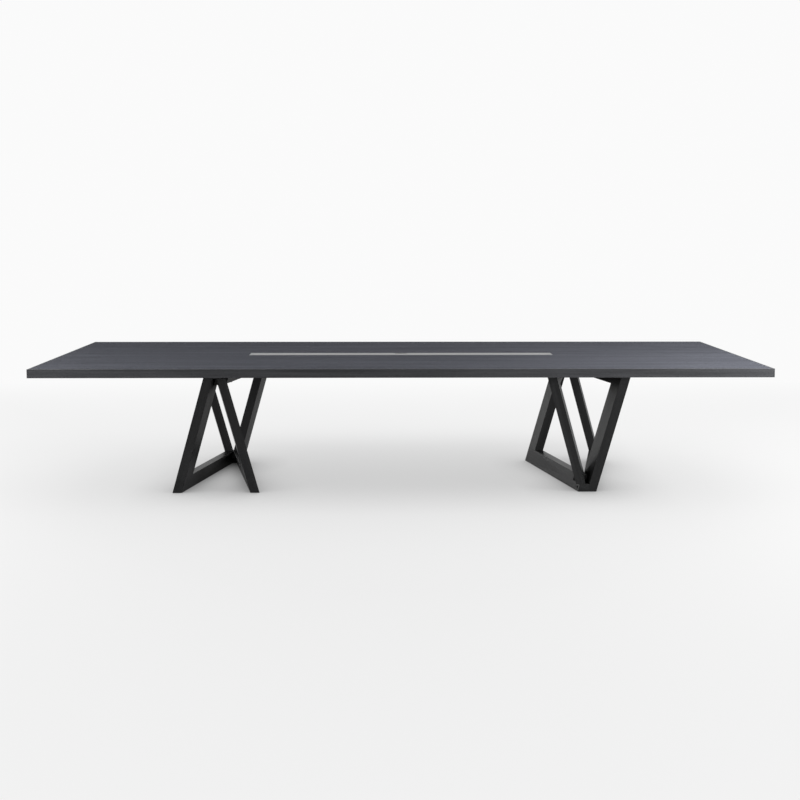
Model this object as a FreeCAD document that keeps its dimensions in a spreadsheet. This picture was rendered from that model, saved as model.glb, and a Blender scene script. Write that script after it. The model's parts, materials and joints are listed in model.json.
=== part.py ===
import FreeCAD, Part
import os
import re
import Sketcher
from FreeCAD import Placement, Rotation, Vector

# A long dining table: a black top built round a cable port in its middle, on two open trestles.
# Each trestle is a pair of skew four-sided rings of board that interlock at two corners.
# Millimetres, +Z up, origin on the floor below the middle of the top, front towards -Y.

SIZES = {
    # Whole table
    "table_length": 4000,
    "table_width": 1200,
    "table_height": 740,
    # Top
    "top_thickness": 47,
    "lipping_width": 8,
    "lipping_chamfer": 0.5,
    # Splines between the long panels of the top and the infills beyond the port
    "spline_thickness": 8,
    "spline_width": 24,
    "spline_setback": 60,
    "spline_clearance": 0.05,
    # Trestles
    "trestle_spacing": 2100,
    "trestle_depth": 720,
    "splay": 193,
    "board_width": 52,
    "bar_height": 86,
    "lap_height": 43,
    "lap_clearance": 0.3,
    # Felt pads let into the undersides of the foot bars
    "felt_thickness": 3,
    "felt_proud": 1,
    "felt_length": 40,
    "felt_width": 30,
    "felt_setback": 75,
    "felt_clearance": 0.2,
    # Loose tenons of the board joints
    "tenon_thickness": 10,
    "tenon_width": 50,
    "tenon_length": 50,
    "lap_tenon_width": 20,
    "lap_tenon_length": 36,
    "tenon_clearance": 0.05,
    # Screws through the corners where the halves of a trestle meet
    "corner_screw_diameter": 6,
    "corner_screw_length": 80,
    "corner_head_size": 11,
    "corner_head_height": 4,
    "corner_head_sink": 10,
    "head_clearance": 1,
    "thread_clearance": 0.05,
    # Screws through the top bars into the top
    "fixing_screw_diameter": 8,
    "fixing_screw_length": 112,
    "fixing_head_size": 15,
    "fixing_head_height": 5.5,
    "fixing_setback": 180,
    # Frame of the cable port
    "port_length": 1800,
    "port_width": 90,
    "port_flange": 6,
    "flange_thickness": 3,
    "port_clearance": 0.3,
    "rail_wall": 2.5,
    "end_wall": 6,
    "ledge_width": 10,
    "ledge_thickness": 5,
    # Lids and their hinge
    "lid_thickness": 5,
    "lid_gap": 1,
    "hinge_gap": 1.5,
    "nose_radius": 6,
    "nose_drop": 0.4,
    "lid_rib_height": 6,
    "lid_rib_thickness": 3,
    "bridge_width": 70,
    "notch_depth": 20,
    "finger_hole_diameter": 12,
    "finger_hole_inset": 55,
    "pin_diameter": 4,
    "pin_clearance": 0.05,
    "pin_reach": 25,
    "bumper_length": 20,
    "bumper_width": 6,
    "bumper_height": 2,
    "bumper_gap": 0.2,
    "bumper_inset": 90,
    # Cable tray
    "tray_length": 1700,
    "tray_width": 104,
    "tray_depth": 80,
    "tray_sheet": 1.5,
    "tray_flange": 18,
    "tray_screw_diameter": 4,
    "tray_screw_length": 18,
    "tray_head_size": 8,
    "tray_head_height": 2.5,
    "tray_screw_setback": 120,
}

DERIVED = {
    "trestle_height": "table_height - top_thickness - felt_proud",
    "top_underside": "table_height - top_thickness",
    # Boards of the two leaning planes meet on one diagonal, so depths and heights keep its slope
    "leg_depth": "bar_height * trestle_depth / trestle_height",
    "lap_depth": "lap_height * trestle_depth / trestle_height",
    # Board joints
    "corner_seat": "board_width - corner_head_sink",
    "corner_hold": "corner_screw_length - corner_seat",
    "corner_bore": "corner_screw_diameter + 2 * thread_clearance",
    "corner_head_bore": "corner_head_size + 2 * head_clearance",
    "fixing_bore": "fixing_screw_diameter + 2 * thread_clearance",
    "fixing_hold": "fixing_screw_length - bar_height",
    # Port: the well is the cut-out in the top, lined by the rails and the end walls
    "well_half": "port_width / 2 - port_flange",
    "well_end": "port_length / 2 - port_flange",
    "rail_outside": "well_half - port_clearance",
    "rail_inside": "rail_outside - rail_wall",
    "end_outside": "well_end - port_clearance",
    "end_inside": "end_outside - end_wall",
    # Splines, level with the middle of the top
    "spline_start": "well_end + spline_setback",
    "spline_end": "table_length / 2 - lipping_width - spline_setback",
    "spline_low": "top_underside + top_thickness / 2 - spline_thickness / 2",
    "spline_high": "spline_low + spline_thickness",
    # Lids: the pin line runs along the front rail, close under the surface
    "pin_line": "hinge_gap + nose_radius - rail_inside",
    "pin_level": "table_height - nose_drop - nose_radius",
    "pin_bore": "pin_diameter + 2 * pin_clearance",
    "lid_underside": "table_height - lid_thickness",
    "lid_back": "rail_inside - lid_gap",
    "lid_outer_end": "end_inside - lid_gap",
    "lid_inner_end": "bridge_width / 2 + lid_gap",
    "lid_length": "lid_outer_end - lid_inner_end",
    "bridge_back": "lid_back - notch_depth",
    "ledge_top": "lid_underside - bumper_height - bumper_gap",
    # Tray
    "tray_outside": "tray_width / 2 + tray_sheet",
    "tray_reach": "tray_outside + tray_flange",
    "tray_screw_line": "tray_outside + tray_flange / 2",
    "tray_floor": "top_underside - tray_depth",
    "tray_screw_bore": "tray_screw_diameter + 2 * thread_clearance",
}

WORD = re.compile(r"[a-z]+(?:_[a-z]+)*")
CUT_MARGIN = "1"
UPRIGHT, FLIPPED = False, True
HALVES = {"inner": -1, "outer": 1}
TRESTLES = {"right": 1, "left": -1}
# Where the head of a corner screw sits, in the middle of the faces that meet there
CORNER_SCREW = ("-corner_seat", "lap_depth / 2", "lap_height / 2")
BUTT_TENON = ("tenon_thickness", "tenon_width", "tenon_length")
LAP_TENON = {
    -1: ("tenon_thickness", "lap_tenon_width", "lap_tenon_length"),
    1: ("tenon_thickness", "lap_tenon_length", "lap_tenon_width"),
}
ALONG = {
    "x": Rotation(Vector(0, 1, 0), 90),
    "z": Rotation(),
}

doc = FreeCAD.newDocument("DiningTable")
nodes = []


def fill_sheet():
    """Writes the driving dimensions into the document's spreadsheet."""
    sheet = doc.addObject("Spreadsheet::Sheet", "Sizes")
    for row, (alias, value) in enumerate(SIZES.items(), start=1):
        sheet.set(f"A{row}", alias)
        sheet.set(f"B{row}", str(value))
        sheet.setAlias(f"B{row}", alias)
    doc.recompute()


def formula(text):
    """Spells the names in a formula out as cells of the sheet."""
    def spell(match):
        word = match.group()
        if word in DERIVED:
            return "(" + formula(DERIVED[word]) + ")"
        if word in SIZES:
            return "Sizes." + word
        return word
    return WORD.sub(spell, text)


def bind(item, path, text):
    item.setExpression(path, formula(text))


def bind_base(item, base):
    for axis, text in zip("xyz", base):
        bind(item, f"Placement.Base.{axis}", text)


# Sketches and features

def new_body(label):
    body = doc.addObject("PartDesign::Body", label)
    nodes.append(body)
    return body


def sketch_on(body, role, offset="0"):
    """A sketch on one of the body's own origin planes, moved along its normal."""
    plane = next(item for item in body.Origin.OriginFeatures if item.Role == role)
    sketch = body.newObject("Sketcher::SketchObject", "Sketch")
    sketch.AttachmentSupport = [(plane, "")]
    sketch.MapMode = "FlatFace"
    bind(sketch, "AttachmentOffset.Base.z", offset)
    return sketch


def fix_point(sketch, geometry, position, across, up):
    """Ties a point of a sketch to its two distances from the origin."""
    point = sketch.getPoint(geometry, position)
    for kind, value, text in (("DistanceX", point.x, across), ("DistanceY", point.y, up)):
        index = sketch.addConstraint(Sketcher.Constraint(kind, -1, 1, geometry, position, value))
        bind(sketch, f"Constraints[{index}]", text)


def outline(sketch, corners):
    """A closed outline of straight lines through the given corners."""
    count = len(corners)
    rough = [Rotation(Vector(0, 0, 1), 360 * i / count).multVec(Vector(100, 0, 0)) for i in range(count)]
    first = sketch.GeometryCount
    for i in range(count):
        sketch.addGeometry(Part.LineSegment(rough[i], rough[(i + 1) % count]), False)
    for i in range(count):
        joined = Sketcher.Constraint("Coincident", first + i, 2, first + (i + 1) % count, 1)
        sketch.addConstraint(joined)
    for i, (across, up) in enumerate(corners):
        fix_point(sketch, first + i, 1, across, up)


def rectangle(sketch, low, high):
    outline(sketch, [low, (high[0], low[1]), high, (low[0], high[1])])


def circle(sketch, across, up, diameter):
    index = sketch.addGeometry(Part.Circle(Vector(1, 1, 0), Vector(0, 0, 1), 5), False)
    size = sketch.addConstraint(Sketcher.Constraint("Diameter", index, 10))
    bind(sketch, f"Constraints[{size}]", diameter)
    fix_point(sketch, index, 3, across, up)


def pad(body, sketch, length, symmetric=False):
    feature = body.newObject("PartDesign::Pad", "Pad")
    feature.Profile = sketch
    bind(feature, "Length", length)
    if symmetric:
        feature.SideType = "Symmetric"
    return feature


def lean(feature, direction):
    """Makes a pad run along a slanting direction, with its length still square to the sketch."""
    feature.UseCustomVector = True
    feature.AlongSketchNormal = True
    for axis, text in zip("xyz", direction):
        bind(feature, f"Direction.{axis}", text)


def pocket(body, sketch, depth=None, forward=False):
    """Cuts through everything, or to a depth on the sketch's far or (forward) near side."""
    feature = body.newObject("PartDesign::Pocket", "Pocket")
    feature.Profile = sketch
    if depth is None:
        feature.Type = "ThroughAll"
        feature.SideType = "Symmetric"
    else:
        bind(feature, "Length", depth)
        feature.Reversed = forward
    return feature


def rod(label, diameter, length, base, along):
    item = doc.addObject("Part::Cylinder", label)
    item.Placement = Placement(Vector(), ALONG[along])
    bind(item, "Radius", f"({diameter}) / 2")
    bind(item, "Height", length)
    bind_base(item, base)
    return item


def block(label, size, base):
    item = doc.addObject("Part::Box", label)
    for side, text in zip(("Length", "Width", "Height"), size):
        bind(item, side, text)
    bind_base(item, base)
    return item


def hexagon(label, size, length, base, along):
    item = doc.addObject("Part::Prism", label)
    item.Polygon = 6
    item.Placement = Placement(Vector(), ALONG[along])
    bind(item, "Circumradius", f"({size}) / 2")
    bind(item, "Height", length)
    bind_base(item, base)
    return item


def hex_screw(kind, seat, along, towards, length):
    """A screw with its head on a seat and its shank along an axis, towards plus (1) or minus (-1)."""
    shank_back, head_back = "0", f"{kind}_head_height"
    if towards < 0:
        shank_back, head_back = length, "0"
    axis = "xyz".index(along)
    shank_base, head_base = list(seat), list(seat)
    shank_base[axis] = f"{seat[axis]} - ({shank_back})"
    head_base[axis] = f"{seat[axis]} - ({head_back})"
    screw = doc.addObject("Part::Fuse", "Screw")
    screw.Base = rod("Shank", f"{kind}_screw_diameter", length, shank_base, along)
    screw.Tool = hexagon("Head", f"{kind}_head_size", f"{kind}_head_height", head_base, along)
    return screw


def group(label, items):
    """One node of several separate solids."""
    node = doc.addObject("Part::Compound", label)
    node.Links = items
    nodes.append(node)


# Trestle geometry, in a trestle's own frame: X across from its middle plane, Y from its joined foot
# to its spread feet, Z up from the foot bars' underside. The upper half of the ring is the lower half
# turned over about the X direction.

def inner_face(side, depth, height):
    """X of the face of a board that looks at the middle plane, at a depth and a height."""
    return f"({-side} * splay * (({height}) / trestle_height - ({depth}) / trestle_depth))"


def outer_face(side, depth, height):
    return f"({inner_face(side, depth, height)} + {side} * board_width)"


def middle(side, depth, height):
    return f"({inner_face(side, depth, height)} + {side} * board_width / 2)"


def in_table(turn, flipped, point):
    """Carries a point from a trestle's frame into the table's."""
    across, depth, height = point
    swing = -turn if flipped else turn
    level = f"trestle_height - ({height})" if flipped else height
    return (
        f"{turn} * (trestle_spacing / 2 + ({across}))",
        f"{swing} * (({depth}) - trestle_depth / 2)",
        f"felt_proud + {level}",
    )


def place_board(body, turn, flipped):
    half_turn = Rotation(Vector(1, 0, 0), 180) if flipped else Rotation()
    about = Rotation() if turn > 0 else Rotation(Vector(0, 0, 1), 180)
    body.Placement = Placement(Vector(), about.multiply(half_turn))
    bind_base(body, in_table(turn, flipped, ("0", "0", "0")))


def turned_over(point):
    """The same point of a joint for the leg, which meets the bar from the other end of the ring."""
    across, depth, height = point
    return across, f"trestle_depth - ({depth})", f"trestle_height - ({height})"


def butt_middle(side):
    """Middle of the tenon where a leg stands on the far end of a bar."""
    depth = "trestle_depth - leg_depth / 2"
    return middle(side, depth, "bar_height"), depth, "bar_height"


def lap_middle(side):
    """Middle of the tenon in the lap of a half: upright in the inner half, level in the outer one."""
    if side < 0:
        return "-board_width / 2", "leg_depth / 2", "lap_height"
    return "board_width / 2", "lap_depth", "bar_height / 2"


def fixing_points(side):
    """The screws through a top bar, before the bar is turned over."""
    depths = ["fixing_setback", "trestle_depth - fixing_setback"]
    return [(middle(side, depth, "bar_height / 2"), depth) for depth in depths]


def felt_points(side):
    depths = ["felt_setback", "trestle_depth - felt_setback"]
    return [(middle(side, depth, "0"), depth) for depth in depths]


def bore_row(body, points, level, diameter, depth, forward=False):
    sketch = sketch_on(body, "XY_Plane", level)
    for across, up in points:
        circle(sketch, across, up, diameter)
    pocket(body, sketch, depth, forward)


def slot(body, middle_point, half_size, level, depth, forward=False, role="XY_Plane"):
    """A rectangular recess about a point, cut back from a level or (forward) along the plane's normal."""
    sketch = sketch_on(body, role, level)
    low = [f"{place} - ({half})" for place, half in zip(middle_point, half_size)]
    high = [f"{place} + ({half})" for place, half in zip(middle_point, half_size)]
    rectangle(sketch, low, high)
    pocket(body, sketch, depth, forward)


def butt_mortise(body, side, forward=False):
    across, depth, level = butt_middle(side)
    half_size = ("tenon_thickness / 2 + tenon_clearance", "tenon_width / 2 + tenon_clearance")
    slot(body, (across, depth), half_size, level, "tenon_length / 2 + tenon_clearance", forward)


def lap_mortise(body, side, point):
    across, depth, height = point
    half_size = ("tenon_thickness / 2 + tenon_clearance", "lap_tenon_width / 2 + tenon_clearance")
    sunk = "lap_tenon_length / 2 + tenon_clearance"
    if side < 0:
        slot(body, (across, depth), half_size, height, sunk)
    else:
        slot(body, (across, height), half_size, f"-({depth})", sunk, role="XZ_Plane")


def corner_screw_hole(body, side, point):
    """A hole square to the middle plane: right through an inner bar, with a sunk seat in its slanting
    outer face, and blind in an outer leg."""
    place = point[1:]
    if side > 0:
        shank = sketch_on(body, "YZ_Plane", "-board_width")
        circle(shank, *place, "corner_bore")
        pocket(body, shank, "board_width + corner_hold", forward=True)
        return
    shank = sketch_on(body, "YZ_Plane")
    circle(shank, *place, "corner_bore")
    pocket(body, shank)
    seat = sketch_on(body, "YZ_Plane", "-corner_seat")
    circle(seat, *place, "corner_head_bore")
    pocket(body, seat, "board_width")


def bar(label, side):
    """A foot bar: a board that runs back from the joined foot and leans with its height. The inner bar
    starts at the very front, halved under its leg. The outer one starts behind its leg."""
    body = new_body(label)
    start = "0" if side < 0 else "lap_depth"
    section = sketch_on(body, "XZ_Plane", f"-{start}")
    corners = [(face(side, start, level), level) for face, level in (
        (outer_face, "0"), (inner_face, "0"), (inner_face, "bar_height"), (outer_face, "bar_height"))]
    outline(section, corners)
    lean(pad(body, section, f"trestle_depth - {start}"), (f"{side} * splay", "trestle_depth", "0"))
    if side < 0:
        lap = sketch_on(body, "YZ_Plane")
        lap_end = "leg_depth + lap_clearance"
        rectangle(lap, (f"-{CUT_MARGIN}", "lap_height"), (lap_end, f"bar_height + {CUT_MARGIN}"))
        pocket(body, lap)
        corner_screw_hole(body, side, CORNER_SCREW)
    butt_mortise(body, side)
    lap_mortise(body, side, lap_middle(side))
    return body


def leg(label, side):
    """A leg: a board that stands on a bar's far end and leans in to the far top corner. The inner leg
    stops short at the inner bar. The outer one runs on, halved in front of the outer bar."""
    body = new_body(label)
    foot = sketch_on(body, "XY_Plane", "bar_height")
    near, far = "trestle_depth - leg_depth", "trestle_depth"
    corners = [(face(side, depth, "bar_height"), depth) for face, depth in (
        (outer_face, near), (inner_face, near), (inner_face, far), (outer_face, far))]
    outline(foot, corners)
    top = "trestle_height - lap_height" if side < 0 else "trestle_height"
    lean(pad(body, foot, f"{top} - bar_height"), (f"{-side} * splay", "0", "trestle_height"))
    if side > 0:
        lap = sketch_on(body, "YZ_Plane")
        rectangle(lap, (f"{near} - {CUT_MARGIN}", "trestle_height - bar_height - lap_clearance"),
                  ("trestle_depth - lap_depth", f"trestle_height + {CUT_MARGIN}"))
        pocket(body, lap)
        corner_screw_hole(body, side, turned_over(CORNER_SCREW))
    butt_mortise(body, side, forward=True)
    lap_mortise(body, side, turned_over(lap_middle(side)))
    return body


def trestle_boards(name, turn):
    """The eight boards of one trestle, half of them turned over."""
    upright_leg, flipped_leg = ("rear_leg", "front_leg") if turn > 0 else ("front_leg", "rear_leg")
    for half, side in HALVES.items():
        foot_bar = bar(f"{name}_{half}_foot_bar", side)
        for place in felt_points(side):
            half_size = ("felt_width / 2 + felt_clearance", "felt_length / 2 + felt_clearance")
            slot(foot_bar, place, half_size, "0", "felt_thickness - felt_proud", forward=True)
        place_board(foot_bar, turn, UPRIGHT)
        top_bar = bar(f"{name}_{half}_top_bar", side)
        bore_row(top_bar, fixing_points(side), "bar_height", "fixing_bore", "bar_height")
        place_board(top_bar, turn, FLIPPED)
        place_board(leg(f"{name}_{half}_{upright_leg}", side), turn, UPRIGHT)
        place_board(leg(f"{name}_{half}_{flipped_leg}", side), turn, FLIPPED)


def loose_tenon(turn, flipped, point, size):
    centre = in_table(turn, flipped, point)
    return block("Tenon", size, [f"{place} - {side} / 2" for place, side in zip(centre, size)])


def corner_screw(turn, flipped):
    """A screw from the inner half of a trestle into its outer half."""
    return hex_screw("corner", in_table(turn, flipped, CORNER_SCREW), "x", turn, "corner_screw_length")


def felt_pad(turn, across, depth):
    x, y, _ = in_table(turn, UPRIGHT, (across, depth, "0"))
    size = ("felt_width", "felt_length", "felt_thickness")
    return block("Felt", size, (f"{x} - felt_width / 2", f"{y} - felt_length / 2", "0"))


def trestle_fixings():
    tenons, screws, felts = [], [], []
    for turn in TRESTLES.values():
        for flipped in (UPRIGHT, FLIPPED):
            screws.append(corner_screw(turn, flipped))
            for side in HALVES.values():
                tenons.append(loose_tenon(turn, flipped, butt_middle(side), BUTT_TENON))
                tenons.append(loose_tenon(turn, flipped, lap_middle(side), LAP_TENON[side]))
        for side in HALVES.values():
            felts += [felt_pad(turn, across, depth) for across, depth in felt_points(side)]
    group("loose_tenons", tenons)
    group("corner_screws", screws)
    group("felt_pads", felts)


def fixing_places(row):
    """X and Y of the screws between the top bars and the front (-1) or rear (1) panel."""
    places = []
    for turn in TRESTLES.values():
        for side in HALVES.values():
            across, depth = fixing_points(side)[0 if turn == row else 1]
            places.append(in_table(turn, FLIPPED, (across, depth, "0"))[:2])
    return places


def top_fixings():
    seat = "top_underside - bar_height"
    places = fixing_places(-1) + fixing_places(1)
    screws = [hex_screw("fixing", (x, y, seat), "z", 1, "fixing_screw_length") for x, y in places]
    group("fixing_screws", screws)


# Top

def tray_screw_places(row):
    ends = [f"{side} * (tray_length / 2 - tray_screw_setback)" for side in (-1, 1)]
    return [(end, f"{row} * tray_screw_line") for end in ends]


def spline_slots(body, level, ends, forward):
    """Slots for splines in an upright edge of a panel, one towards each of the given ends."""
    sketch = sketch_on(body, "XZ_Plane", level)
    for end in ends:
        low = (f"{end} * (spline_start - spline_clearance)", "spline_low - spline_clearance")
        high = (f"{end} * (spline_end + spline_clearance)", "spline_high + spline_clearance")
        rectangle(sketch, low, high)
    pocket(body, sketch, "spline_width / 2 + spline_clearance", forward)


def long_panel(label, row):
    """The front or rear panel: half a rebate for the port's flange and blind holes from below."""
    body = new_body(label)
    blank = sketch_on(body, "XY_Plane", "top_underside")
    end = "(table_length / 2 - lipping_width)"
    rectangle(blank, (f"-{end}", f"{row} * well_half"), (end, f"{row} * (table_width / 2 - lipping_width)"))
    pad(body, blank, "top_thickness")
    rebate = sketch_on(body, "XY_Plane", "table_height")
    rim = "(port_length / 2 + port_clearance)"
    rectangle(rebate, (f"-{rim}", f"{row} * (well_half - {CUT_MARGIN})"),
              (rim, f"{row} * (port_width / 2 + port_clearance)"))
    pocket(body, rebate, "flange_thickness")
    spline_slots(body, f"{-row} * well_half", (-1, 1), forward=row < 0)
    bore_row(body, fixing_places(row), "top_underside", "fixing_bore", "fixing_hold", forward=True)
    tray_places = tray_screw_places(row)
    bore_row(body, tray_places, "top_underside", "tray_screw_bore", "tray_screw_length", forward=True)


def infill(label, side):
    """The panel between the long ones, from the end of the port's well to the end of the top."""
    body = new_body(label)
    blank = sketch_on(body, "XY_Plane", "top_underside")
    rectangle(blank, (f"{side} * well_end", "-well_half"),
              (f"{side} * (table_length / 2 - lipping_width)", "well_half"))
    pad(body, blank, "top_thickness")
    rebate = sketch_on(body, "XY_Plane", "table_height")
    beyond = f"(well_half + {CUT_MARGIN})"
    rectangle(rebate, (f"{side} * (well_end - {CUT_MARGIN})", f"-{beyond}"),
              (f"{side} * (port_length / 2 + port_clearance)", beyond))
    pocket(body, rebate, "flange_thickness")
    for row in (-1, 1):
        spline_slots(body, f"{-row} * well_half", (side,), forward=row > 0)


def top_splines():
    size = ("spline_end - spline_start", "spline_width", "spline_thickness")
    splines = []
    for low in ("spline_start", "-spline_end"):
        for row in (-1, 1):
            front = f"{row} * well_half - spline_width / 2"
            splines.append(block("Spline", size, (low, front, "spline_low")))
    group("top_splines", splines)


def lipping_section(side, edge):
    """An edge strip's section: its outer corners are eased by small chamfers."""
    outer, inner = f"{side} * {edge} / 2", f"{side} * ({edge} / 2 - lipping_width)"
    eased = f"{side} * ({edge} / 2 - lipping_chamfer)"
    low, high = "top_underside", "table_height"
    return [(inner, low), (eased, low), (outer, f"{low} + lipping_chamfer"),
            (outer, f"{high} - lipping_chamfer"), (eased, high), (inner, high)]


def lippings():
    for label, role, side, edge, length in (
            ("front_lipping", "YZ_Plane", -1, "table_width", "table_length"),
            ("rear_lipping", "YZ_Plane", 1, "table_width", "table_length"),
            ("left_lipping", "XZ_Plane", -1, "table_length", "table_width - 2 * lipping_width"),
            ("right_lipping", "XZ_Plane", 1, "table_length", "table_width - 2 * lipping_width")):
        body = new_body(label)
        section = sketch_on(body, role)
        outline(section, lipping_section(side, edge))
        pad(body, section, length, symmetric=True)


# Cable port

def rail(label, side):
    """A long rail of the port: a flange that lies in the rebate and a wall that lines the well."""
    body = new_body(label)
    flange = sketch_on(body, "YZ_Plane")
    rectangle(flange, (f"{side} * rail_inside", "table_height - flange_thickness"),
              (f"{side} * port_width / 2", "table_height"))
    pad(body, flange, "port_length", symmetric=True)
    wall = sketch_on(body, "YZ_Plane")
    rectangle(wall, (f"{side} * rail_inside", "top_underside"), (f"{side} * rail_outside", "table_height"))
    pad(body, wall, "2 * end_outside", symmetric=True)


def ledges():
    """Bars along the rear rail that carry the lids' free edges and leave the cable notch open."""
    for label, low in (("left_ledge", "-end_inside"), ("right_ledge", "lid_inner_end")):
        size = ("end_inside - lid_inner_end", "ledge_width", "ledge_thickness")
        nodes.append(block(label, size, (low, "rail_inside - ledge_width", "ledge_top - ledge_thickness")))


def port_ends():
    for label, side in (("port_left_end", -1), ("port_right_end", 1)):
        body = new_body(label)
        section = sketch_on(body, "XZ_Plane")
        shoulder = "table_height - flange_thickness"
        outline(section, [
            (f"{side} * end_inside", "top_underside"), (f"{side} * end_outside", "top_underside"),
            (f"{side} * end_outside", shoulder), (f"{side} * port_length / 2", shoulder),
            (f"{side} * port_length / 2", "table_height"), (f"{side} * end_inside", "table_height")])
        pad(body, section, "2 * rail_inside", symmetric=True)
        bore = sketch_on(body, "YZ_Plane")
        circle(bore, "pin_line", "pin_level", "pin_bore")
        pocket(body, bore)


def lid(label, side):
    """A flap with a round hinge nose along its front, a stiffening rib and a finger hole."""
    body = new_body(label)
    start = "lid_inner_end" if side > 0 else "-lid_outer_end"
    plate = sketch_on(body, "YZ_Plane", start)
    rectangle(plate, ("pin_line", "lid_underside"), ("lid_back", "table_height"))
    pad(body, plate, "lid_length")
    nose = sketch_on(body, "YZ_Plane", start)
    circle(nose, "pin_line", "pin_level", "2 * nose_radius")
    pad(body, nose, "lid_length")
    rib = sketch_on(body, "YZ_Plane", start)
    rib_half = "lid_rib_thickness / 2"
    rectangle(rib, (f"-{rib_half}", "lid_underside - lid_rib_height"), (rib_half, "lid_underside"))
    pad(body, rib, "lid_length")
    bore = sketch_on(body, "YZ_Plane")
    circle(bore, "pin_line", "pin_level", "pin_bore")
    pocket(body, bore)
    hole = sketch_on(body, "XY_Plane", "table_height")
    circle(hole, f"{side} * (lid_outer_end - finger_hole_inset)", "lid_back / 2", "finger_hole_diameter")
    pocket(body, hole)


def port_bridge():
    """The fixed plate between the lids, with a block on the front rail that holds their middle pin."""
    body = new_body("port_bridge")
    section = sketch_on(body, "YZ_Plane")
    block_back, block_low = "pin_line + nose_radius", "pin_level - nose_radius"
    outline(section, [
        ("-rail_inside", block_low), (block_back, block_low), (block_back, "lid_underside"),
        ("bridge_back", "lid_underside"), ("bridge_back", "table_height"), ("-rail_inside", "table_height")])
    pad(body, section, "bridge_width", symmetric=True)
    bore = sketch_on(body, "YZ_Plane")
    circle(bore, "pin_line", "pin_level", "pin_bore")
    pocket(body, bore)


def lid_pins():
    end_pin = "end_wall + lid_gap + pin_reach"
    middle_pin = "bridge_width + 2 * lid_gap + 2 * pin_reach"
    runs = [("-end_outside", end_pin), (f"-({middle_pin}) / 2", middle_pin),
            (f"end_outside - ({end_pin})", end_pin)]
    pins = [rod("Pin", "pin_diameter", length, (low, "pin_line", "pin_level"), "x") for low, length in runs]
    group("lid_pins", pins)


def lid_bumpers():
    """Soft stops on the ledges, two under each lid."""
    size = ("bumper_length", "bumper_width", "bumper_height")
    line = "rail_inside - ledge_width / 2 - bumper_width / 2"
    bumpers = []
    for side in (-1, 1):
        for across in ("lid_outer_end - bumper_inset", "lid_inner_end + bumper_inset"):
            base = (f"{side} * ({across}) - bumper_length / 2", line, "ledge_top")
            bumpers.append(block("Bumper", size, base))
    group("lid_bumpers", bumpers)


# Cable tray

def cable_tray():
    """A folded sheet channel that hangs by its flanges below the well, open at both ends."""
    body = new_body("cable_tray")
    section = sketch_on(body, "YZ_Plane")
    fold, inside_floor, inside = "top_underside - tray_sheet", "tray_floor + tray_sheet", "tray_width / 2"
    right = [(inside, inside_floor), (inside, "top_underside"), ("tray_reach", "top_underside"),
             ("tray_reach", fold), ("tray_outside", fold), ("tray_outside", "tray_floor")]
    left = [(f"-{across}", up) for across, up in reversed(right)]
    outline(section, right + left)
    pad(body, section, "tray_length", symmetric=True)
    places = tray_screw_places(-1) + tray_screw_places(1)
    bore_row(body, places, "top_underside", "tray_screw_bore", "tray_sheet")


def tray_screws():
    seat, length = "top_underside - tray_sheet", "tray_screw_length + tray_sheet"
    places = tray_screw_places(-1) + tray_screw_places(1)
    group("tray_screws", [hex_screw("tray", (x, y, seat), "z", 1, length) for x, y in places])


def check_model():
    """Stops on a failed feature, a cut that removed nothing or a broken solid."""
    for item in doc.Objects:
        if "Invalid" in item.State or "Error" in item.State:
            raise RuntimeError(f"{item.Name} of {item.Label} failed: {item.State}")
        if item.TypeId == "PartDesign::Pocket" and item.Shape.Volume >= item.BaseFeature.Shape.Volume:
            raise RuntimeError(f"{item.Name} cuts nothing")
    for node in nodes:
        if node.Shape.isNull() or not node.Shape.isValid() or not node.Shape.Solids:
            raise RuntimeError(f"{node.Label} has no valid solid")


def main():
    fill_sheet()
    long_panel("top_front_panel", -1)
    long_panel("top_rear_panel", 1)
    infill("top_left_infill", -1)
    infill("top_right_infill", 1)
    top_splines()
    lippings()
    rail("port_front_rail", -1)
    rail("port_rear_rail", 1)
    ledges()
    port_ends()
    lid("left_lid", -1)
    lid("right_lid", 1)
    port_bridge()
    lid_pins()
    lid_bumpers()
    cable_tray()
    tray_screws()
    for name, turn in TRESTLES.items():
        trestle_boards(name, turn)
    trestle_fixings()
    top_fixings()
    doc.recompute()
    check_model()
    os.makedirs("parts", exist_ok=True)
    for node in nodes:
        node.Shape.exportStep(f"parts/{node.Label}.step")
        print(node.Label, len(node.Shape.Solids), round(node.Shape.Volume))


main()
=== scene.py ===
import json
import math

import bmesh
import bpy
from mathutils import Matrix, Vector

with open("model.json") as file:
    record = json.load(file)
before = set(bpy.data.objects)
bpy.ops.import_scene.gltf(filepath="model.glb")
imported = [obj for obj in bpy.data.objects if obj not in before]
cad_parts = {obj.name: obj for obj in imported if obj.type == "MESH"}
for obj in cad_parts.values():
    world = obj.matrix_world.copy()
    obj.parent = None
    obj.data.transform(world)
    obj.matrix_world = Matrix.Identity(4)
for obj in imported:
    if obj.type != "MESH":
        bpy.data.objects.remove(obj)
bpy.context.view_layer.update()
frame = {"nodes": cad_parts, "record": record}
nodes = frame["nodes"]

# A long black table with a metal cable port in its top, on two open trestles, in a white studio.
# The CAD pieces keep their shapes. They get their finishes here, and slightly eased edges.

# Camera that took the photo, fitted to the edges of the top and the trestles
IMAGE_SIDE = 800
SENSOR_WIDTH = 36.0
CAMERA_PLACE = (-0.113, -5.584, 1.5)
CAMERA_YAW = 0.0188
CAMERA_PITCH = 0.0777
CAMERA_ROLL = 0.0017
FOCAL_PIXELS = 941.4
PRINCIPAL_ROW = 299.7

# Ways the grain can run, and how far the trestle boards lean to the side over their depth and height
ALONG_TABLE = (1.0, 0.0, 0.0)
ACROSS_TABLE = (0.0, 1.0, 0.0)
UPRIGHT = (0.0, 0.0, 1.0)
SPLAY = 0.193
TRESTLE_DEPTH = 0.72
TRESTLE_HEIGHT = 0.692

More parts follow.
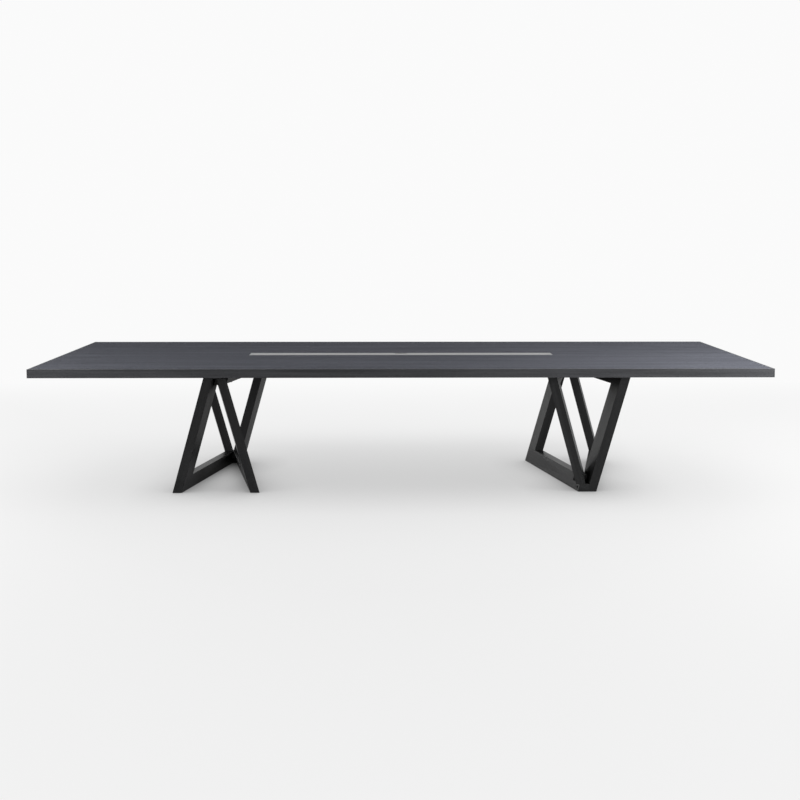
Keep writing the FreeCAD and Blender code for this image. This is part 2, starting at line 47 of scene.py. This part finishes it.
# Eased edges, in metres
BOARD_EASE = 0.0008
METAL_EASE = 0.0004
EASE_STEPS = 2
SHARP_ANGLE = math.radians(40)
WELD_DISTANCE = 0.00001

# Black-stained wood: sizes of its patterns along and across the grain, where the noise of the figure
# turns from dark to light, where that of the pores turns from deep to flat, and the depth of the relief
WOOD_FIGURE = (1.1, 0.045, 0.045)
WOOD_GRAIN = (0.16, 0.0022, 0.0022)
WOOD_PORES = (0.014, 0.00055, 0.00055)
FIGURE_STOPS = (0.32, 0.52, 0.7)
PORE_SPAN = (0.34, 0.42)
WOOD_RELIEF = 0.00006
GRAIN_SHARE = 0.4

# Satin metal: sizes of its drawn lines and its clouding, and the depth of the lines
METAL_LINES = (0.35, 0.00035, 0.00035)
METAL_CLOUD = (0.5, 0.06, 0.06)
METAL_RELIEF = 0.00003

# Coats, rubber and felt: how much larger than the grit their clouding is
CLOUD_RATIO = 30

# Plain beech: sizes of its grain and flecks, its colours and the depth of its grain
BEECH_GRAIN = (0.05, 0.002, 0.002)
BEECH_FLECKS = (0.006, 0.0007, 0.0007)
FLECK_SPAN = (0.36, 0.44)
BEECH_DARK = (0.46, 0.28, 0.15)
BEECH_LIGHT = (0.62, 0.42, 0.26)
FLECK_BROWN = (0.55, 0.42, 0.32)
BEECH_RELIEF = 0.0001

# Finishes of the lippings and the trestle boards
LIPPING = {"dark": 0.028, "light": 0.044, "tint": 1.08, "roughness": 0.45, "specular": 0.05}
BOARD = {"dark": 0.01, "light": 0.019, "tint": 1.03, "roughness": 0.34, "specular": 0.2}

# Surrounding light: its strength from each side, and where it fades towards the front and below
WHITE = (1.0, 1.0, 1.0)
WORLD_LEFT = 0.92
WORLD_RIGHT = 1.0
WORLD_FRONT = 0.12
WORLD_FRONT_FADE = (-0.5, 0.1)
WORLD_BELOW = 0.2
WORLD_BELOW_FADE = (-0.12, -0.035)

# Level of the backdrop and the far floor, as the camera sees them
BACKDROP = 0.958

# Floor: its size, its tone and painted glow near the table, the distances where it fades into the
# backdrop, the reach of the painted contact shade under the trestles, and the share of the painted glow
# that the table reflects
FLOOR_RADIUS = 40.0
FLOOR_SEGMENTS = 96
FLOOR_TONE = 0.24
FLOOR_ROUGHNESS = 0.8
FLOOR_PAINTED_GLOW = 0.58
FLOOR_FADE_BEHIND = (0.6, 3.4)
FLOOR_FADE_AROUND = (1.8, 5.4)
FLOOR_PAINTED_SHADE_REACH = 0.3
FLOOR_REFLECTED = 0.5


# Node trees

def grey(level, tint=1.0):
    """A neutral colour, or a slightly bluish one with a tint above 1."""
    return level, level * tint ** 0.2, level * tint


class Nodes:
    """A node tree that is built node by node."""

    def __init__(self, tree):
        self.tree = tree

    def node(self, kind, **settings):
        made = self.tree.nodes.new(kind)
        for name, value in settings.items():
            setattr(made, name, value)
        return made

    def link(self, source, target):
        self.tree.links.new(source, target)

    def spread(self, value, low, high, low_in=0.3, high_in=0.7):
        """The value carried from one range into another."""
        made = self.node("ShaderNodeMapRange")
        made.inputs["From Min"].default_value = low_in
        made.inputs["From Max"].default_value = high_in
        made.inputs["To Min"].default_value = low
        made.inputs["To Max"].default_value = high
        self.link(value, made.inputs["Value"])
        return made.outputs["Result"]

    def math(self, operation, first, second):
        made = self.node("ShaderNodeMath", operation=operation)
        for socket, value in zip(made.inputs, (first, second)):
            if isinstance(value, float):
                socket.default_value = value
            else:
                self.link(value, socket)
        return made.outputs[0]


class Shader(Nodes):
    """A material whose patterns feed its own surface."""

    def __init__(self, name):
        self.material = bpy.data.materials.new(name)
        self.material.use_nodes = True
        super().__init__(self.material.node_tree)
        self.surface = self.tree.nodes["Principled BSDF"]

    def along(self, direction, sizes):
        """Coordinates turned so that X follows a direction, with one unit per size along each axis."""
        coords = self.node("ShaderNodeTexCoord")
        turned = self.node("ShaderNodeMapping", vector_type="TEXTURE")
        turned.inputs["Rotation"].default_value = Vector(direction).to_track_quat("X", "Z").to_euler()
        turned.inputs["Scale"].default_value = sizes
        self.link(coords.outputs["Object"], turned.inputs["Vector"])
        return turned.outputs["Vector"]

    def noise(self, direction, sizes, detail, distortion=0.0):
        """A random pattern drawn out along a direction."""
        made = self.node("ShaderNodeTexNoise")
        made.inputs["Scale"].default_value = 1.0
        made.inputs["Detail"].default_value = detail
        made.inputs["Roughness"].default_value = 0.55
        made.inputs["Distortion"].default_value = distortion
        self.link(self.along(direction, sizes), made.inputs["Vector"])
        return made.outputs["Fac"]

    def ramp(self, value, places, colours):
        """Colours that the value passes through at the given places."""
        made = self.node("ShaderNodeValToRGB")
        points = made.color_ramp.elements
        while len(points) < len(places):
            points.new(0.5)
        for point, place, colour in zip(points, places, colours):
            point.position = place
            point.color = (*colour, 1.0)
        self.link(value, made.inputs["Fac"])
        return made.outputs["Color"]

    def shades(self, value, dark, light, span=(0.3, 0.7)):
        """Greys between two levels, over a span of the value."""
        return self.ramp(value, span, (grey(dark), grey(light)))

    def multiply(self, amount, first, second):
        made = self.node("ShaderNodeMix", data_type="RGBA", blend_type="MULTIPLY")
        made.inputs["Factor"].default_value = amount
        self.link(first, made.inputs["A"])
        self.link(second, made.inputs["B"])
        return made.outputs["Result"]

    def colour(self, colour):
        self.link(colour, self.surface.inputs["Base Color"])

    def rough(self, pattern, low, high):
        self.link(self.spread(pattern, low, high), self.surface.inputs["Roughness"])

    def bump(self, height, distance, strength):
        made = self.node("ShaderNodeBump")
        made.inputs["Strength"].default_value = strength
        made.inputs["Distance"].default_value = distance
        self.link(height, made.inputs["Height"])
        self.link(made.outputs["Normal"], self.surface.inputs["Normal"])

    def set(self, **values):
        """Constant values of the surface's own sockets."""
        for name, value in values.items():
            self.surface.inputs[name.replace("_", " ")].default_value = value


# Materials

def stained_wood(name, direction, dark, light, tint, roughness, specular):
    """Black-stained wood under satin lacquer: broad figure, fine grain and open pores along the board."""
    shader = Shader(name)
    figure = shader.noise(direction, WOOD_FIGURE, detail=5.0, distortion=0.6)
    grain = shader.noise(direction, WOOD_GRAIN, detail=3.0)
    pores = shader.noise(direction, WOOD_PORES, detail=1.0)
    levels = (dark, (dark + light) / 2, light)
    broad = shader.ramp(figure, FIGURE_STOPS, [grey(level, tint) for level in levels])
    fine = shader.shades(grain, 0.55, 1.0)
    pits = shader.shades(pores, 0.25, 1.0, PORE_SPAN)
    shader.colour(shader.multiply(0.75, shader.multiply(0.7, broad, fine), pits))
    shader.rough(grain, roughness - 0.05, roughness + 0.08)
    raised = shader.spread(pores, 0.0, 1.0, *PORE_SPAN)
    relief = shader.math("ADD", shader.math("MULTIPLY", grain, GRAIN_SHARE), raised)
    shader.bump(relief, WOOD_RELIEF, strength=0.5)
    shader.set(Specular_IOR_Level=specular)
    return shader.material


def satin_metal(name, level, roughness, edge):
    """Metal with fine lines drawn along the table, and a duller reflection at low angles."""
    shader = Shader(name)
    lines = shader.noise(ALONG_TABLE, METAL_LINES, detail=3.0)
    cloud = shader.noise(ALONG_TABLE, METAL_CLOUD, detail=3.0)
    drawn = shader.shades(lines, level * 0.86, level * 1.06, span=(0.25, 0.75))
    cloudy = shader.shades(cloud, 0.94, 1.0)
    shader.colour(shader.multiply(1.0, drawn, cloudy))
    shader.rough(lines, roughness - 0.05, roughness + 0.07)
    shader.bump(lines, METAL_RELIEF, strength=0.4)
    shader.set(Metallic=1.0, Specular_Tint=(*grey(edge), 1.0))
    return shader.material


def coated(name, level, roughness, grit, depth, specular):
    """A dull dark coat, rubber or felt with a fine random grit."""
    shader = Shader(name)
    speckle = shader.noise(ALONG_TABLE, (grit, grit, grit), detail=3.0)
    patch = grit * CLOUD_RATIO
    cloud = shader.noise(ALONG_TABLE, (patch, patch, patch), detail=2.0)
    spots = shader.shades(speckle, level * 0.7, level * 1.3)
    patches = shader.shades(cloud, 0.85, 1.0)
    shader.colour(shader.multiply(1.0, spots, patches))
    shader.rough(speckle, roughness - 0.06, roughness + 0.06)
    shader.bump(speckle, depth, strength=0.5)
    shader.set(Specular_IOR_Level=specular)
    return shader.material


def beech(name, direction):
    """Pale plain beech with short brown flecks."""
    shader = Shader(name)
    grain = shader.noise(direction, BEECH_GRAIN, detail=4.0)
    flecks = shader.noise(direction, BEECH_FLECKS, detail=1.0)
    pale = shader.ramp(grain, (0.3, 0.7), (BEECH_DARK, BEECH_LIGHT))
    brown = shader.ramp(flecks, FLECK_SPAN, (FLECK_BROWN, WHITE))
    shader.colour(shader.multiply(0.8, pale, brown))
    shader.rough(grain, 0.5, 0.65)
    shader.bump(grain, BEECH_RELIEF, strength=0.4)
    return shader.material


# Finishes of the CAD pieces

def board_direction(name):
    """The way the grain of a trestle board runs."""
    lean = SPLAY if "_outer_" in name else -SPLAY
    if name.endswith("foot_bar"):
        return lean, TRESTLE_DEPTH, 0.0
    if name.endswith("top_bar"):
        return -lean, TRESTLE_DEPTH, 0.0
    if name.endswith("front_leg"):
        return lean, 0.0, TRESTLE_HEIGHT
    return -lean, 0.0, TRESTLE_HEIGHT


def wear(node, material):
    node.data.materials.clear()
    node.data.materials.append(material)


def ease(node, width):
    """Softens a CAD piece's sharp edges without touching its mesh."""
    weld = node.modifiers.new("Joined", "WELD")
    weld.merge_threshold = WELD_DISTANCE
    bevel = node.modifiers.new("Eased", "BEVEL")
    bevel.width = width
    bevel.segments = EASE_STEPS
    bevel.limit_method = "ANGLE"
    bevel.angle_limit = SHARP_ANGLE
    bevel.harden_normals = True


def plain_finishes():
    """Finishes of the slots whose pieces all look alike, by slot."""
    return {
        "satin_aluminium": satin_metal("satin_aluminium", level=0.5, roughness=0.36, edge=0.42),
        "steel": satin_metal("zinc_steel", level=0.42, roughness=0.4, edge=1.0),
        "black_veneer": stained_wood("veneer", ALONG_TABLE, dark=0.033, light=0.048, tint=1.22,
                                     roughness=0.48, specular=0.001),
        "black_sheet": coated("powder_coat", level=0.02, roughness=0.5, grit=0.0009, depth=0.00005,
                              specular=0.4),
        "felt": coated("felt", level=0.03, roughness=0.95, grit=0.0006, depth=0.0004, specular=0.1),
        "rubber": coated("rubber", level=0.018, roughness=0.7, grit=0.0005, depth=0.00005, specular=0.3),
    }


def grained_finishes():
    """Finishes of the pieces whose grain follows the piece, by node. Boards that run alike share one."""
    long_edge = stained_wood("lipping_long", ALONG_TABLE, **LIPPING)
    short_edge = stained_wood("lipping_short", ACROSS_TABLE, **LIPPING)
    finishes = {
        "loose_tenons": beech("beech", UPRIGHT),
        "top_splines": beech("beech_spline", ALONG_TABLE),
        "front_lipping": long_edge,
        "rear_lipping": long_edge,
        "left_lipping": short_edge,
        "right_lipping": short_edge,
    }
    boards = {}
    for name in nodes:
        if name.endswith(("_bar", "_leg")):
            direction = board_direction(name)
            if direction not in boards:
                boards[direction] = stained_wood(f"board_{len(boards)}", direction, **BOARD)
            finishes[name] = boards[direction]
    return finishes


def dress_nodes():
    by_slot = plain_finishes()
    by_node = grained_finishes()
    eased = {"black_wood": BOARD_EASE, "satin_aluminium": METAL_EASE}
    for part in frame["record"]["subparts"]:
        name, slot = part["node"], part["material_slot"]
        wear(nodes[name], by_slot[slot] if slot in by_slot else by_node[name])
        if slot in eased:
            ease(nodes[name], eased[slot])


# Studio

def floor():
    """A pale floor with a painted glow that whitens away from the table, with shade under it from real
    shadow and from painted shade where the trestles stand. It lights the table only by what the table
    reflects of it."""
    mesh = bpy.data.meshes.new("floor")
    disc = bmesh.new()
    bmesh.ops.create_circle(disc, cap_ends=True, radius=FLOOR_RADIUS, segments=FLOOR_SEGMENTS)
    disc.to_mesh(mesh)
    disc.free()
    thing = bpy.data.objects.new("floor", mesh)
    thing.visible_diffuse = False
    bpy.context.scene.collection.objects.link(thing)
    wear(thing, floor_with_painted_glow())
    return thing


def floor_with_painted_glow():
    shader = Shader("floor")
    coords = shader.node("ShaderNodeTexCoord")
    split = shader.node("ShaderNodeSeparateXYZ")
    shader.link(coords.outputs["Object"], split.inputs["Vector"])
    distance = shader.node("ShaderNodeVectorMath", operation="LENGTH")
    shader.link(coords.outputs["Object"], distance.inputs["Vector"])
    behind = shader.spread(split.outputs["Y"], 0.0, 1.0, *FLOOR_FADE_BEHIND)
    around = shader.spread(distance.outputs["Value"], 0.0, 1.0, *FLOOR_FADE_AROUND)
    fade = shader.math("MAXIMUM", behind, around)
    # Painted glow: emission that stands in for light on the floor, lower near the table and rising to the
    # backdrop level away from it
    glow = shader.spread(fade, FLOOR_PAINTED_GLOW, BACKDROP, 0.0, 1.0)
    # Painted shade: ambient occlusion darkens the painted glow where the trestles stand near the floor
    painted_shade_ao = shader.node("ShaderNodeAmbientOcclusion")
    painted_shade_ao.inputs["Distance"].default_value = FLOOR_PAINTED_SHADE_REACH
    glow_with_painted_shade = shader.math("MULTIPLY", glow, painted_shade_ao.outputs["AO"])
    # Rays other than the camera's see only a share of the painted glow, so the table reflects less of it
    rays = shader.node("ShaderNodeLightPath")
    share = shader.spread(rays.outputs["Is Camera Ray"], FLOOR_REFLECTED, 1.0, 0.0, 1.0)
    shader.link(shader.math("MULTIPLY", glow_with_painted_shade, share), shader.surface.inputs["Emission Strength"])
    shader.colour(shader.shades(fade, FLOOR_TONE, 0.0, span=(0.0, 1.0)))
    shader.set(Roughness=FLOOR_ROUGHNESS, Specular_IOR_Level=0.0, Emission_Color=(*WHITE, 1.0))
    return shader.material


def surroundings():
    """A white backdrop to the camera. As a light it is dim in front and below, and weaker at the left."""
    world = bpy.data.worlds.new("studio")
    world.use_nodes = True
    bpy.context.scene.world = world
    sky = Nodes(world.node_tree)
    coords = sky.node("ShaderNodeTexCoord")
    split = sky.node("ShaderNodeSeparateXYZ")
    sky.link(coords.outputs["Generated"], split.inputs["Vector"])
    sides = sky.spread(split.outputs["X"], WORLD_LEFT, WORLD_RIGHT, -1.0, 1.0)
    front = sky.spread(split.outputs["Y"], WORLD_FRONT, 1.0, *WORLD_FRONT_FADE)
    below = sky.spread(split.outputs["Z"], WORLD_BELOW, 1.0, *WORLD_BELOW_FADE)
    strength = sky.math("MULTIPLY", sky.math("MULTIPLY", sides, front), below)
    rays = sky.node("ShaderNodeLightPath")
    seen = sky.node("ShaderNodeMix")
    seen.inputs["B"].default_value = BACKDROP
    sky.link(rays.outputs["Is Camera Ray"], seen.inputs["Factor"])
    sky.link(strength, seen.inputs["A"])
    background = sky.tree.nodes["Background"]
    background.inputs["Color"].default_value = (*WHITE, 1.0)
    sky.link(seen.outputs["Result"], background.inputs["Strength"])


def all_but(thing):
    """A light's receivers: everything except one object."""
    receivers = bpy.data.collections.new(f"all_but_{thing.name}")
    receivers.objects.link(thing)
    receivers.collection_objects[0].light_linking.link_state = "EXCLUDE"
    return receivers


def softbox(name, place, target, size, power, receivers=None, glossy=True):
    """A rectangular light at a place, turned to a target. It shows in reflections if it is glossy."""
    light = bpy.data.lights.new(name, "AREA")
    light.shape = "RECTANGLE"
    light.size, light.size_y = size
    light.energy = power
    lamp = bpy.data.objects.new(name, light)
    lamp.visible_camera = False
    lamp.visible_glossy = glossy
    lamp.location = place
    lamp.rotation_mode = "QUATERNION"
    lamp.rotation_quaternion = (Vector(target) - Vector(place)).to_track_quat("-Z", "Y")
    lamp.light_linking.receiver_collection = receivers
    bpy.context.scene.collection.objects.link(lamp)


def room_lights():
    """The two softboxes that light the table and the floor."""
    softbox("right", place=(4.5, -1.0, 3.0), target=(1.0, 0.0, 0.3), size=(2.0, 2.0), power=190.0)
    softbox("left", place=(-4.5, -1.0, 3.0), target=(-1.0, 0.0, 0.3), size=(2.0, 2.0), power=130.0)


def table_lights(table):
    """The softboxes that light the table alone: three over the top, four round the trestles."""
    softbox("strip", place=(-0.3, -0.75, 1.9), target=(-0.3, -0.4, 0.74), size=(4.4, 0.3), power=26.0,
            receivers=table)
    softbox("key", place=(2.3, -0.7, 1.9), target=(1.8, -0.2, 0.74), size=(1.2, 0.8), power=76.0,
            receivers=table)
    softbox("fill", place=(-2.3, -0.8, 1.7), target=(-1.8, -0.3, 0.74), size=(1.2, 0.8), power=16.0,
            receivers=table)
    softbox("front_left", place=(-3.0, -2.4, 0.9), target=(-1.5, -0.5, 0.5), size=(1.2, 0.8), power=82.0,
            receivers=table, glossy=False)
    softbox("front_right", place=(3.0, -2.4, 0.9), target=(1.5, -0.5, 0.5), size=(1.2, 0.8), power=155.0,
            receivers=table, glossy=False)
    softbox("rear", place=(0.0, 3.2, 0.9), target=(0.0, 0.6, 0.5), size=(4.0, 0.8), power=130.0,
            receivers=table, glossy=False)
    softbox("rear_left", place=(-4.5, 3.2, 0.9), target=(1.0, 0.3, 0.4), size=(4.0, 1.6), power=34.0,
            receivers=table)


def camera():
    data = bpy.data.cameras.new("camera")
    data.sensor_width = SENSOR_WIDTH
    data.lens = FOCAL_PIXELS * SENSOR_WIDTH / IMAGE_SIDE
    data.shift_y = (PRINCIPAL_ROW - IMAGE_SIDE / 2) / IMAGE_SIDE
    thing = bpy.data.objects.new("camera", data)
    yaw = Matrix.Rotation(-CAMERA_YAW, 4, "Z")
    pitch = Matrix.Rotation(math.pi / 2 - CAMERA_PITCH, 4, "X")
    roll = Matrix.Rotation(CAMERA_ROLL, 4, "Z")
    thing.matrix_world = Matrix.Translation(CAMERA_PLACE) @ yaw @ pitch @ roll
    bpy.context.scene.collection.objects.link(thing)
    bpy.context.scene.camera = thing


dress_nodes()
table_only = all_but(floor())
surroundings()
room_lights()
table_lights(table_only)
camera()
bpy.context.scene.view_settings.view_transform = "Standard"
